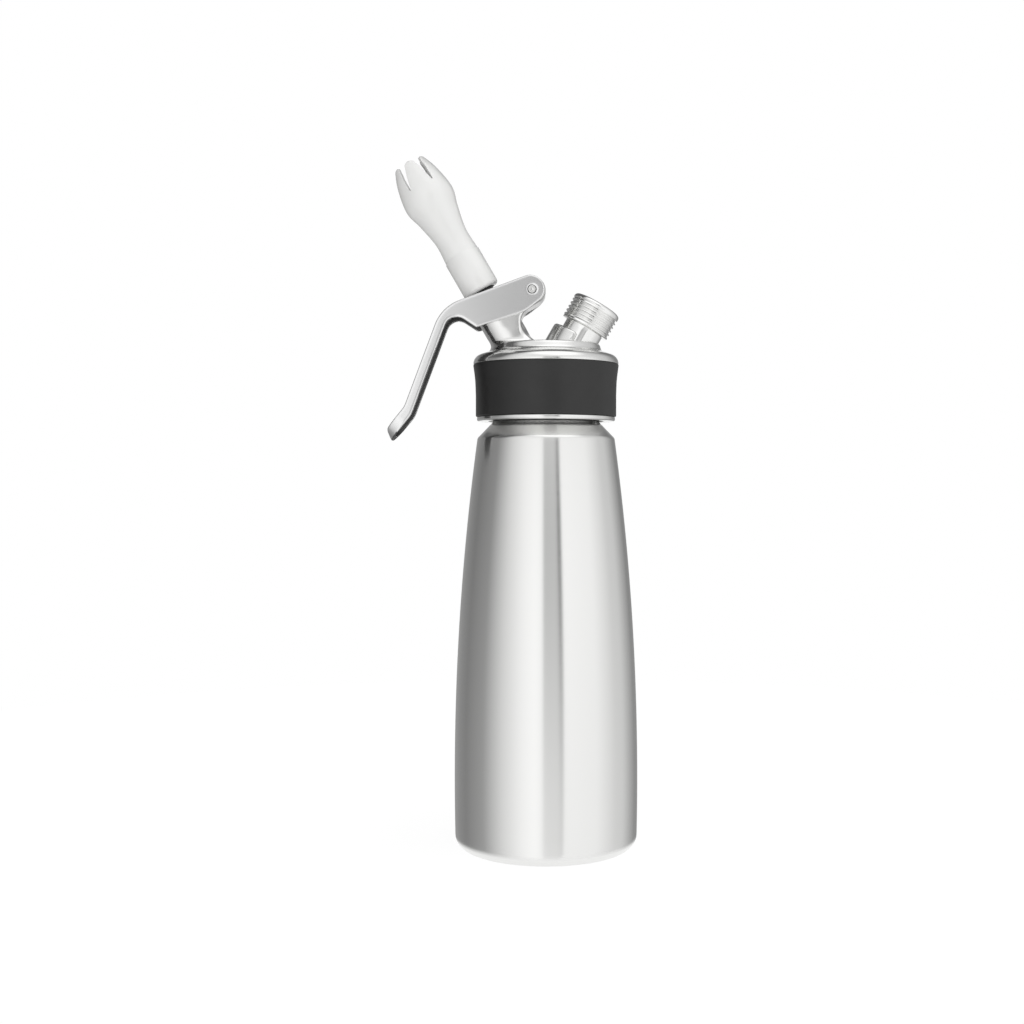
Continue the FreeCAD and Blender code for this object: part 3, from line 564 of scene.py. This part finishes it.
# %% Neck ring
ring_radius = neck_radius + 2 * mm
ring_foot = rim_height - 18.5 * mm
chamfer = 0.8 * mm
wall_foot, wall_top = ring_foot + chamfer, rim_height - chamfer
ring_outline = ([Vector((neck_radius, ring_foot)), Vector((ring_radius - chamfer, ring_foot)),
                 Vector((ring_radius, wall_foot))]
                + close_rows(ring_radius, wall_foot, wall_top, spacing=0.35 * mm)
                + [Vector((ring_radius, wall_top)), Vector((ring_radius - chamfer, rim_height)),
                   Vector((neck_radius, rim_height))])
neck_ring = turned("neck_thread_ring", ring_outline, 192)
press_thread(neck_ring, ring_radius, wall_foot, wall_top, pitch=3.5 * mm, depth=0.9 * mm)
smooth(neck_ring, 40)
settle(neck_ring, "bottle_neck_ring", "bottle", plain_steel)

# %% [markdown]
# The head is one casting, but two ways of making suit its two halves. Its skirt and flange were
# machined on a lathe and shine in even bands, so they are turned. The bore takes the bottle's
# neck, the step inside presses the gasket, and a groove round the skirt holds the grip band.

# %% Head: skirt and flange
head_foot = 206.4 * mm
head_bore = 27.9 * mm
lip_radius = 33.5 * mm
band_foot = 208.7 * mm
skirt_radius = 31.6 * mm
gasket_seat = 232.0 * mm
rib_outside, rib_inside, rib_foot = 22 * mm, 20.6 * mm, 229.8 * mm
flange_foot, flange_radius = 234.0 * mm, 35.2 * mm
flange_shoulder = 237.6 * mm
deck_foot, deck_foot_radius = 240.3 * mm, 27.1 * mm
seam, seam_floor = 30.0 * mm, 238.2 * mm
flange_rise = (deck_foot - flange_shoulder) / (flange_radius - deck_foot_radius)
seam_height = deck_foot - (seam - deck_foot_radius) * flange_rise
skirt_outline = rounded([
    (rib_outside, gasket_seat, 0), (head_bore, gasket_seat, 0), (head_bore, head_foot, 0.4 * mm),
    (lip_radius, head_foot, 1.0 * mm), (lip_radius, band_foot, 0.7 * mm), (skirt_radius, band_foot, 0),
    (skirt_radius, flange_foot, 0), (flange_radius, flange_foot, 0.4 * mm),
    (flange_radius, flange_shoulder, 4.4 * mm), (seam, seam_height + 0.03 * mm, 0),
    (seam - 0.4 * mm, seam_floor, 0), (rib_inside, seam_floor, 0), (rib_inside, rib_foot, 0.4 * mm),
    (rib_outside, rib_foot, 0)], 8)
skirt = turned("head_skirt_and_flange", skirt_outline, 192)
smooth(skirt, 40)

# %% [markdown]
# The deck with its leaning boss, the lug for the lever and the collar round the charger
# connection stayed as they were cast. They are the construction model's own forms, cut free
# above the flange. A wedge fills the notch between boss and lug, so that the one runs smoothly
# into the other, and then the whole is cast anew.

# %% Head: deck, boss and lug
boss_radius, boss_top = 9.5 * mm, 16.4 * mm
guide_bore = 8 * mm
casting_foot = 238.6 * mm
room_foot, room_top, room_radius = 229 * mm, 300 * mm, 60 * mm
casting = copy_of("head_body", "head_deck_and_boss")
room = turned("room_of_the_deck", [
    Vector((rib_inside, room_foot)), Vector((rib_inside, casting_foot)),
    Vector((room_radius, casting_foot)), Vector((room_radius, room_top))], 96, False)
cut_with(casting, room, "INTERSECT")
wedge = plate("wedge", [
    Vector((0, -1 * mm)), Vector((0, boss_top)), Vector((14.8 * mm, boss_top)), Vector((14.8 * mm, 14 * mm)),
    Vector((9.5 * mm, 11 * mm)), Vector((2 * mm, -1 * mm))], boss_radius)
clear_selection()
bpy.ops.mesh.primitive_cylinder_add(vertices=96, radius=guide_bore, depth=60 * mm)
cut_with(wedge, bpy.context.object, "DIFFERENCE")
lean_on_deck(wedge, valve_x, -lean)
clear_selection()
wedge.select_set(True)
casting.select_set(True)
bpy.context.view_layer.objects.active = casting
bpy.ops.object.join()
cast(casting, grain=0.42 * mm, rounds=12)

# %% [markdown]
# A polishing wheel rounds some places more than others. The lug's sides get an extra turn, and
# the foot of the boss gets a long one, so that boss and deck melt together. Each place is told
# by a few steps that rise from 0 to 1 over a short way, and the smallest of them counts.

# %% Head: rounding the lug and the foot of the boss
def from_boss(point):
    """How far across from the boss's axis a point lies, towards the lug, and how far above the deck."""
    x, z = point.x - valve_x, point.z - deck_top
    return x * math.cos(lean) + z * math.sin(lean), z


def on_the_lug(point):
    """How much of the extra polish a point of the casting gets: all of it on the lug's sides."""
    across, height = from_boss(point)
    from_axis = math.hypot(across, point.y)
    off_the_boss, ahead = (from_axis / mm - 8.5) * 2, 2 - (point.x - valve_x) / mm / 12
    return min(1, height / mm - 0.5, across / mm + 1, abs(point.y) / mm - 5, off_the_boss, ahead)


def round_the_boss_foot(point):
    """How much a point gets of the long polish that melts the boss and the deck's edge together."""
    across, height = from_boss(point)
    from_axis, from_middle = math.hypot(across, point.y) / mm, math.hypot(point.x, point.y) / mm
    underside, underside_radius = 239.7 * mm, 27
    if point.z < underside and from_middle < underside_radius:
        return 0
    near_the_deck, near_the_boss = (7 - abs(height / mm - 1)) / 3, (17 - from_axis) / 4
    off_the_boss, off_the_rim = (from_axis - 8.4) * 2, (28.5 - from_middle) / 1.5
    return min(1, near_the_deck, near_the_boss, off_the_boss, off_the_rim, -point.x / mm / 3)


polish(casting, 40, on_the_lug)
polish(casting, 160, round_the_boss_foot)
smooth(casting, 180)
print("casting polished:", len(casting.data.vertices), "points")
for piece in (skirt, casting):
    settle(piece, "head_body", "head", head_steel)

# %% [markdown]
# The grip band is a sleeve of silicone, pulled over the head. It swells towards its upper edge,
# so the hand doesn't slide off.

# %% Grip band
band_top, band_radius = flange_foot, 34.1 * mm
swell_foot, swell_middle, swell_top = 219 * mm, 226.5 * mm, 233.5 * mm
band_side = flowing([Vector((band_radius, swell_foot)), Vector((34.42 * mm, swell_middle)),
                     Vector((35.3 * mm, swell_top))], 7)
band_outline = (rounded([(skirt_radius, band_foot, 0), (band_radius, band_foot, 0.5 * mm),
                         (band_radius, 218 * mm, 0)])
                + band_side + [Vector((35.15 * mm, 233.85 * mm)), Vector((34.8 * mm, band_top)),
                               Vector((skirt_radius, band_top))])
band = turned("silicone_grip_band", band_outline, 192)
smooth(band, 40)
settle(band, "grip_band", "head", silicone)

# %% [markdown]
# The charger connection is turned from bar and polished. Its thread takes the holder of the gas
# charger, and deep in its mouth the needle waits. It is made upright and then leaned. Its neck
# ends on the deck, so the lowest ring of the neck is slid along the axis until it lies on it.

# %% Charger connection
stub_top = 22.4 * mm
thread_radius = 12.2 * mm
thread_foot = 9.3 * mm
stub_neck = 9.7 * mm
spigot, spigot_foot = 8.0 * mm, -7.5 * mm
mouth, mouth_floor = 4.7 * mm, 9.9 * mm
needle_bore, needle_foot, gas_bore = 3.5 * mm, 2.4 * mm, 1 * mm
thread_low, thread_high = thread_foot + 0.8 * mm, stub_top - 1.6 * mm
shoulder_part = rounded([(stub_neck, 7 * mm, 0), (stub_neck, thread_foot, 0.4 * mm),
                         (thread_radius, thread_foot, 0.8 * mm), (thread_radius, thread_low, 0)])
top_part = rounded([(thread_radius, thread_high, 0), (thread_radius, stub_top, 1.6 * mm),
                    (mouth + 1 * mm, stub_top, 0)], 6)
bore_part = [Vector((mouth, stub_top - 1 * mm)), Vector((mouth, mouth_floor)),
             Vector((needle_bore, mouth_floor)), Vector((needle_bore, needle_foot)),
             Vector((gas_bore, needle_foot)), Vector((gas_bore, spigot_foot))]
foot_part = [Vector((spigot, spigot_foot)), Vector((spigot, 0)), Vector((stub_neck, 0))]
stub_outline = (foot_part + shoulder_part[:-1] + [Vector((thread_radius, thread_low))]
                + close_rows(thread_radius, thread_low, thread_high, spacing=0.125 * mm) + top_part + bore_part)
stub = turned("charger_connection", stub_outline, 144)
press_thread(stub, thread_radius, thread_low - 0.7 * mm, thread_high - 0.3 * mm,
             pitch=2.0 * mm, depth=0.85 * mm)
on_the_neck_foot = 0.001 * mm
for vertex in stub.data.vertices:
    if abs(vertex.co.z) < on_the_neck_foot:
        vertex.co.z = vertex.co.x * math.tan(lean)
smooth(stub, 60)
lean_on_deck(stub, charger_x, lean)
settle(stub, "charger_stub", "head", bright_steel)

# %% [markdown]
# The decorator tip is moulded in one piece: a plain socket, a slim waist and a bulb that opens
# into six petals. The bulb is a free curve through a few points, turned with its wall. Three
# long wedges then cut the slits, each wedge two of them, and widen at the top, so that the
# petals end round.

# %% Decorator tip
tip_foot = 29.8 * mm
tip_top = 71.2 * mm
socket, socket_top = 9.1 * mm, 19.4 * mm
screw_bore, screw_top = 6.62 * mm, 14 * mm
throat_radius, throat_top = 5.6 * mm, 16 * mm
tip_wall = 1.5 * mm
lip_fall, lip_step = 0.5 * mm, 0.15 * mm
bulb = [Vector((r * mm, z * mm)) for r, z in
        ((8.75, 19.9), (8.35, 30.5), (10.575, 42.2), (12.8, 51.3), (11.0, 62.8), (8.0, 71.2))]
outside = flowing(bulb, 9)
inside = flowing([point - Vector((tip_wall, 0)) for point in bulb], 9)
lip_out, lip_in = outside[-1], inside[-1]
foot_part = rounded([(screw_bore, 0, 0), (socket, 0, 1.9 * mm), (socket, socket_top, 0)], 7)
rim_part = [Vector((lip_out.x - 0.1 * mm, tip_top - lip_step)), Vector((lip_out.x - 0.4 * mm, tip_top)),
            Vector((lip_in.x + 0.4 * mm, tip_top)), Vector((lip_in.x + 0.1 * mm, tip_top - lip_step))]
throat_part = [Vector((throat_radius, throat_top)), Vector((throat_radius, screw_top)),
               Vector((screw_bore, screw_top))]
below_lip = outside[:-1] + [Vector((lip_out.x + 0.12 * mm, tip_top - lip_fall))]
inside_lip = [Vector((lip_in.x + 0.12 * mm, tip_top - lip_fall))] + inside[:-1][::-1]
tip = turned("decorator_tip_petals", foot_part + below_lip + rim_part + inside_lip + throat_part, 144)

# %% Decorator tip: the slits between its petals
slit_foot, slit_half, slit_half_top = 57.5 * mm, 0.4 * mm, 1.9 * mm
flare_foot, flare_width, flare_height = 69.4 * mm, 1.8 * mm, 1.7 * mm
slit_side = slit_half_top - 0.1 * mm
half_slit = rounded([(0.01 * mm, slit_foot, 0), (slit_half, slit_foot, 0.3 * mm),
                     (slit_side, flare_foot, 0)], 4)
flare = [Vector((slit_side + flare_width * (1 - math.cos(a)), flare_foot + flare_height * math.sin(a)))
         for a in (math.radians(d) for d in (15, 30, 45, 60, 75))]
half_slit = half_slit + flare + [Vector((slit_half_top + 1.7 * mm, 75 * mm))]
slit_outline = half_slit + [Vector((-p.x, p.y)) for p in half_slit[::-1]]
for turn in (90, 150, 210):
    slit = plate("slit_cutter", slit_outline, 20 * mm)
    slit.rotation_euler = (0, 0, math.radians(turn))
    pick(slit)
    bpy.ops.object.transform_apply(location=False, rotation=True, scale=False)
    cut_with(tip, slit, "DIFFERENCE")
for vertex in tip.data.vertices:
    vertex.co.z += tip_foot
smooth(tip, 40)
lean_on_deck(tip, valve_x, -lean)
settle(tip, "decorator_tip", "tip", milky)
print("tip has", len(tip.data.polygons), "faces")

# %% [markdown]
# The lever is a deep channel of cast steel. Outside it is satin polished. The faces that look
# into the hollow get a dark, rough metal, whose dark colour is painted shade: it stands in for
# the shade that falls inside the channel.

# %% Lever
lever = copy_of("lever", "squeeze_lever")
cast(lever, grain=0.34 * mm, rounds=14)
smooth(lever, 180)
settle(lever, "lever", "lever", lever_steel)
lever.data.materials.append(hollow_shade_steel)

# %% Lever: painted shade in its hollow
hollow_half = 9.95 * mm
shaded_hollow_faces = 0
# The faces that look into the hollow get the dark metal: painted shade.
for face in lever.data.polygons:
    sideways = face.normal.y * math.copysign(1, face.center.y) < -0.5
    downwards = face.normal.x - face.normal.z > 0.3
    if abs(face.center.y) < hollow_half and (sideways or downwards):
        face.material_index = 1
        shaded_hollow_faces += 1
print(shaded_hollow_faces, "faces given painted shade")

# %% [markdown]
# The lever turns on a steel pin, whose rounded ends with their turning centres stand just proud
# of its sides. A narrow groove round each end parts it from the lever. The outline below is one
# end, in millimetres from the axis and from the end's face, and the other end mirrors it.

# %% Lever pin
pin_half = 12.0 * mm
pin_along, pin_across = 17.5 * mm, 20.8 * mm
towards_lug = Vector((math.cos(lean), 0, math.sin(lean)))
pin_end = [(2.0, -2.3, 0), (1.82, -2.2, 0), (1.82, 0, 0.35), (1.2, 0, 0.15), (0.8, -0.6, 0.1), (0.3, -0.65, 0)]
pin_outline = rounded([(r * mm, -pin_half - z * mm, k * mm) for r, z, k in pin_end[::-1]]
                      + [(r * mm, pin_half + z * mm, k * mm) for r, z, k in pin_end], 6)
pin = turned("hinge_pin", pin_outline, 64, False)
pin.rotation_euler = (math.radians(90), 0, 0)
pin.location = valve_foot + valve_axis * pin_along + towards_lug * pin_across
pick(pin)
bpy.ops.object.transform_apply(location=True, rotation=True, scale=False)
smooth(pin, 40)
settle(pin, "lever_pin", "head", bright_steel)

# %% [markdown]
# The spring closes the valve. When the lever is squeezed the spring gets shorter: its 11 mm lose
# the valve's travel of 2.9 mm, which leaves 0.736 of them.

# %% Valve spring
spring = copy_of("valve_spring", "closing_spring")
smooth(spring, 60)
settle(spring, "valve_spring", "head", bright_steel)
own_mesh(spring)

# %% [markdown]
# The photograph was taken level, from about 0.7 m, at the height of the bottle's upper half. A
# small shift of the lens frames the object, so the camera isn't tilted.

# %% Camera
camera_distance, camera_height = 0.705, 0.1756
picture, focal_length, aside, lower_edge = 1024, 1450, 34, 27      # all four in pixels
bpy.ops.object.camera_add(location=(0, -camera_distance, camera_height), rotation=(math.radians(90), 0, 0))
camera = bpy.context.object
camera.data.sensor_width = 36
camera.data.lens = 36 * focal_length / picture
camera.data.shift_x = -aside / picture
camera.data.shift_y = -lower_edge / picture
scene.camera = camera
print("lens", round(camera.data.lens, 1), "mm")

# %% [markdown]
# Polished metal shows the room it stands in. This one is a pale tent: bright cloth left and
# right of the camera, a darker gap where the camera looks in, a narrow black edge beside it,
# greyer cloth to the sides and a lamp overhead. The tent is painted on the world, by the
# direction in which a ray leaves: one ramp of greys goes round it at eye level, one round its
# upper part, and one round its lower part, where the gap fades. The camera itself sees plain
# white, and so does whatever looks through the object, and straight behind it the metal sees
# that white as well.

# %% Studio tent
scene.view_settings.view_transform = "Standard"
world = bpy.data.worlds.new("studio")
scene.world = world
world.use_nodes = True
put, link = world.node_tree.nodes.new, world.node_tree.links.new
cloth = world.node_tree.nodes["Background"]
white = put("ShaderNodeBackground")
white.inputs["Color"].default_value = (1, 1, 1, 1)
white.inputs["Strength"].default_value = 1.0

# %% The tent by direction: how far round, and a little further round the higher the ray goes
direction, split = put("ShaderNodeTexCoord"), put("ShaderNodeSeparateXYZ")
behind, turn, swung = (put("ShaderNodeMath") for step in range(3))
share, bend = put("ShaderNodeMapRange"), put("ShaderNodeMapRange")
ramp, high_ramp, low_ramp = (put("ShaderNodeValToRGB") for step in range(3))
behind.operation, turn.operation = "MULTIPLY", "ARCTAN2"
behind.inputs[1].default_value = -1
bend.inputs["From Min"].default_value, bend.inputs["From Max"].default_value = 0.05, 0.30
bend.inputs["To Max"].default_value = 0.02
share.inputs["From Min"].default_value, share.inputs["From Max"].default_value = -math.pi, math.pi
link(direction.outputs["Generated"], split.inputs["Vector"])
link(split.outputs["Y"], behind.inputs[0])
link(split.outputs["X"], turn.inputs[0])
link(behind.outputs[0], turn.inputs[1])
link(split.outputs["Z"], bend.inputs["Value"])
link(turn.outputs[0], swung.inputs[0])
link(bend.outputs["Result"], swung.inputs[1])
link(swung.outputs[0], share.inputs["Value"])
for cloth_ramp in (ramp, high_ramp, low_ramp):
    link(share.outputs["Result"], cloth_ramp.inputs["Fac"])
print("tent painted by", len(world.node_tree.nodes), "nodes so far")

# %% Brightness of the cloth round the tent, by degrees from the camera, positive to the right
around = [(-180, 1.0), (-175, 1.0), (-172, 0.34), (-120, 0.20), (-85, 0.30), (-55, 0.76), (-30, 1.06),
          (-15, 1.15), (-5, 1.10), (-4, 1.00), (-2.6, 0.44), (-1, 0.48), (5, 0.51), (13, 0.54), (16.6, 0.46),
          (17.4, 0.02), (21.6, 0.02), (22.4, 1.12), (66, 1.04), (85, 0.85), (97, 0.70), (112, 0.66),
          (128, 0.44), (147, 0.23), (165, 0.28), (172, 0.40), (175, 1.0), (180, 1.0)]
higher = [(-180, 0.16), (-165, 0.14), (-150, 0.12), (-80, 0.12), (-60, 0.70), (-40, 0.90), (60, 0.90),
          (120, 0.62), (150, 0.20), (180, 0.16)]
lower = [(-180, 1.0), (-175, 1.0), (-172, 0.36), (-120, 0.25), (-85, 0.38), (-55, 0.80), (-30, 1.06),
         (-15, 1.15), (-5, 1.08), (-2.6, 0.90), (17, 0.87), (19.5, 0.78), (22.2, 1.04), (66, 1.0), (85, 0.86),
         (97, 0.76), (112, 0.72), (128, 0.50), (147, 0.30), (165, 0.30), (172, 0.40), (175, 1.0), (180, 1.0)]
for cloth_ramp, levels in ((ramp, around), (high_ramp, higher), (low_ramp, lower)):
    stops = cloth_ramp.color_ramp.elements
    stops.remove(stops[-1])
    for i, (degrees, level) in enumerate(levels):
        stop = stops[0] if i == 0 else stops.new((degrees + 180) / 360)
        stop.position = (degrees + 180) / 360
        stop.color = (level, level, level, 1)
    print("tent stops:", len(stops))

# %% Helper: blending two colours of the tent
def blend(share_of_second, first, second):
    """Mixes two colours by a share. The second may be a plain grey instead."""
    mix = put("ShaderNodeMix")
    mix.data_type = "RGBA"
    colours = [s for s in mix.inputs if s.type == "RGBA"]
    link(share_of_second, mix.inputs["Factor"])
    link(first, colours[0])
    if isinstance(second, float):
        colours[1].default_value = (second, second, second, 1)
    else:
        link(second, colours[1])
    return [s for s in mix.outputs if s.type == "RGBA"][0]


# %% The tent by height, and its lamp overhead
lamp_direction, lamp_brightness = (0.20, -0.35, 0.915), 1.3
ceiling, ground, lamp = (put("ShaderNodeMapRange") for step in range(3))
facing = put("ShaderNodeVectorMath")
facing.operation = "DOT_PRODUCT"
facing.inputs[1].default_value = lamp_direction
link(direction.outputs["Generated"], facing.inputs[0])
height = split.outputs["Z"]
for step, value, low, high in ((ceiling, height, 0.27, 0.42), (ground, height, 0.12, -0.24),
                               (lamp, facing.outputs["Value"], 0.82, 0.94)):
    step.inputs["From Min"].default_value, step.inputs["From Max"].default_value = low, high
    link(value, step.inputs["Value"])
under = blend(ground.outputs["Result"], ramp.outputs["Color"], low_ramp.outputs["Color"])
upper = blend(ceiling.outputs["Result"], under, high_ramp.outputs["Color"])
whole = blend(lamp.outputs["Result"], upper, lamp_brightness)
link(whole, cloth.inputs["Color"])

# %% What each kind of ray sees of the tent
lift = put("ShaderNodeMapRange")
rays, either, choose = put("ShaderNodeLightPath"), put("ShaderNodeMath"), put("ShaderNodeMixShader")
lift.inputs["To Min"].default_value, lift.inputs["To Max"].default_value = 1.0, 1.25
link(rays.outputs["Is Diffuse Ray"], lift.inputs["Value"])
link(lift.outputs["Result"], cloth.inputs["Strength"])
either.operation = "MAXIMUM"
link(rays.outputs["Is Camera Ray"], either.inputs[0])
link(rays.outputs["Is Transmission Ray"], either.inputs[1])
link(either.outputs[0], choose.inputs["Fac"])
link(cloth.outputs["Background"], choose.inputs[1])
link(white.outputs["Background"], choose.inputs[2])
link(choose.outputs["Shader"], world.node_tree.nodes["World Output"].inputs["Surface"])
print("tent made of", len(world.node_tree.nodes), "nodes")

# %% [markdown]
# The floor is a wide pale disc. Most of its white is its own, and a little is left for the
# object's shadow. The polished bottle mirrors it only near its foot, and further out its mirror
# image gives way to the tent, so that the bands on the bottle run down to the ground.

# %% Floor
floor_radius, below_the_foot = 0.6, 0.2 * mm
own_white, own_light = 0.88, 1.06
clear_selection()
bpy.ops.mesh.primitive_circle_add(vertices=128, radius=floor_radius, fill_type="NGON",
                                  location=(0, 0, -below_the_foot))
floor = bpy.context.object
floor.name = "floor"
pale = bpy.data.materials.new("pale_floor")
pale.use_nodes = True
put, link = pale.node_tree.nodes.new, pale.node_tree.links.new
matt = pale.node_tree.nodes["Principled BSDF"]
glow, mixer = put("ShaderNodeEmission"), put("ShaderNodeMixShader")
matt.inputs["Base Color"].default_value = (0.95, 0.95, 0.95, 1)
matt.inputs["Roughness"].default_value = 0.9
glow.inputs["Strength"].default_value = own_light
mixer.inputs["Fac"].default_value = own_white
link(matt.outputs["BSDF"], mixer.inputs[1])
link(glow.outputs["Emission"], mixer.inputs[2])
print("floor", 2 * floor_radius, "m across")

# %% How far out polished metal sees the floor
mirrored_to, gone_from = 44.5 * mm, 53 * mm
spot, away, edge = put("ShaderNodeTexCoord"), put("ShaderNodeVectorMath"), put("ShaderNodeMapRange")
seen, gone, clear, final = (put("ShaderNodeLightPath"), put("ShaderNodeMath"), put("ShaderNodeBsdfTransparent"),
                            put("ShaderNodeMixShader"))
away.operation, gone.operation = "LENGTH", "MULTIPLY"
edge.inputs["From Min"].default_value, edge.inputs["From Max"].default_value = mirrored_to, gone_from
link(spot.outputs["Object"], away.inputs[0])
link(away.outputs["Value"], edge.inputs["Value"])
link(edge.outputs["Result"], gone.inputs[0])
link(seen.outputs["Is Glossy Ray"], gone.inputs[1])
link(gone.outputs[0], final.inputs["Fac"])
link(mixer.outputs["Shader"], final.inputs[1])
link(clear.outputs["BSDF"], final.inputs[2])
link(final.outputs["Shader"], pale.node_tree.nodes["Material Output"].inputs["Surface"])
dress(floor, pale)
print("metal mirrors the floor up to", gone_from / mm, "mm from the axis")
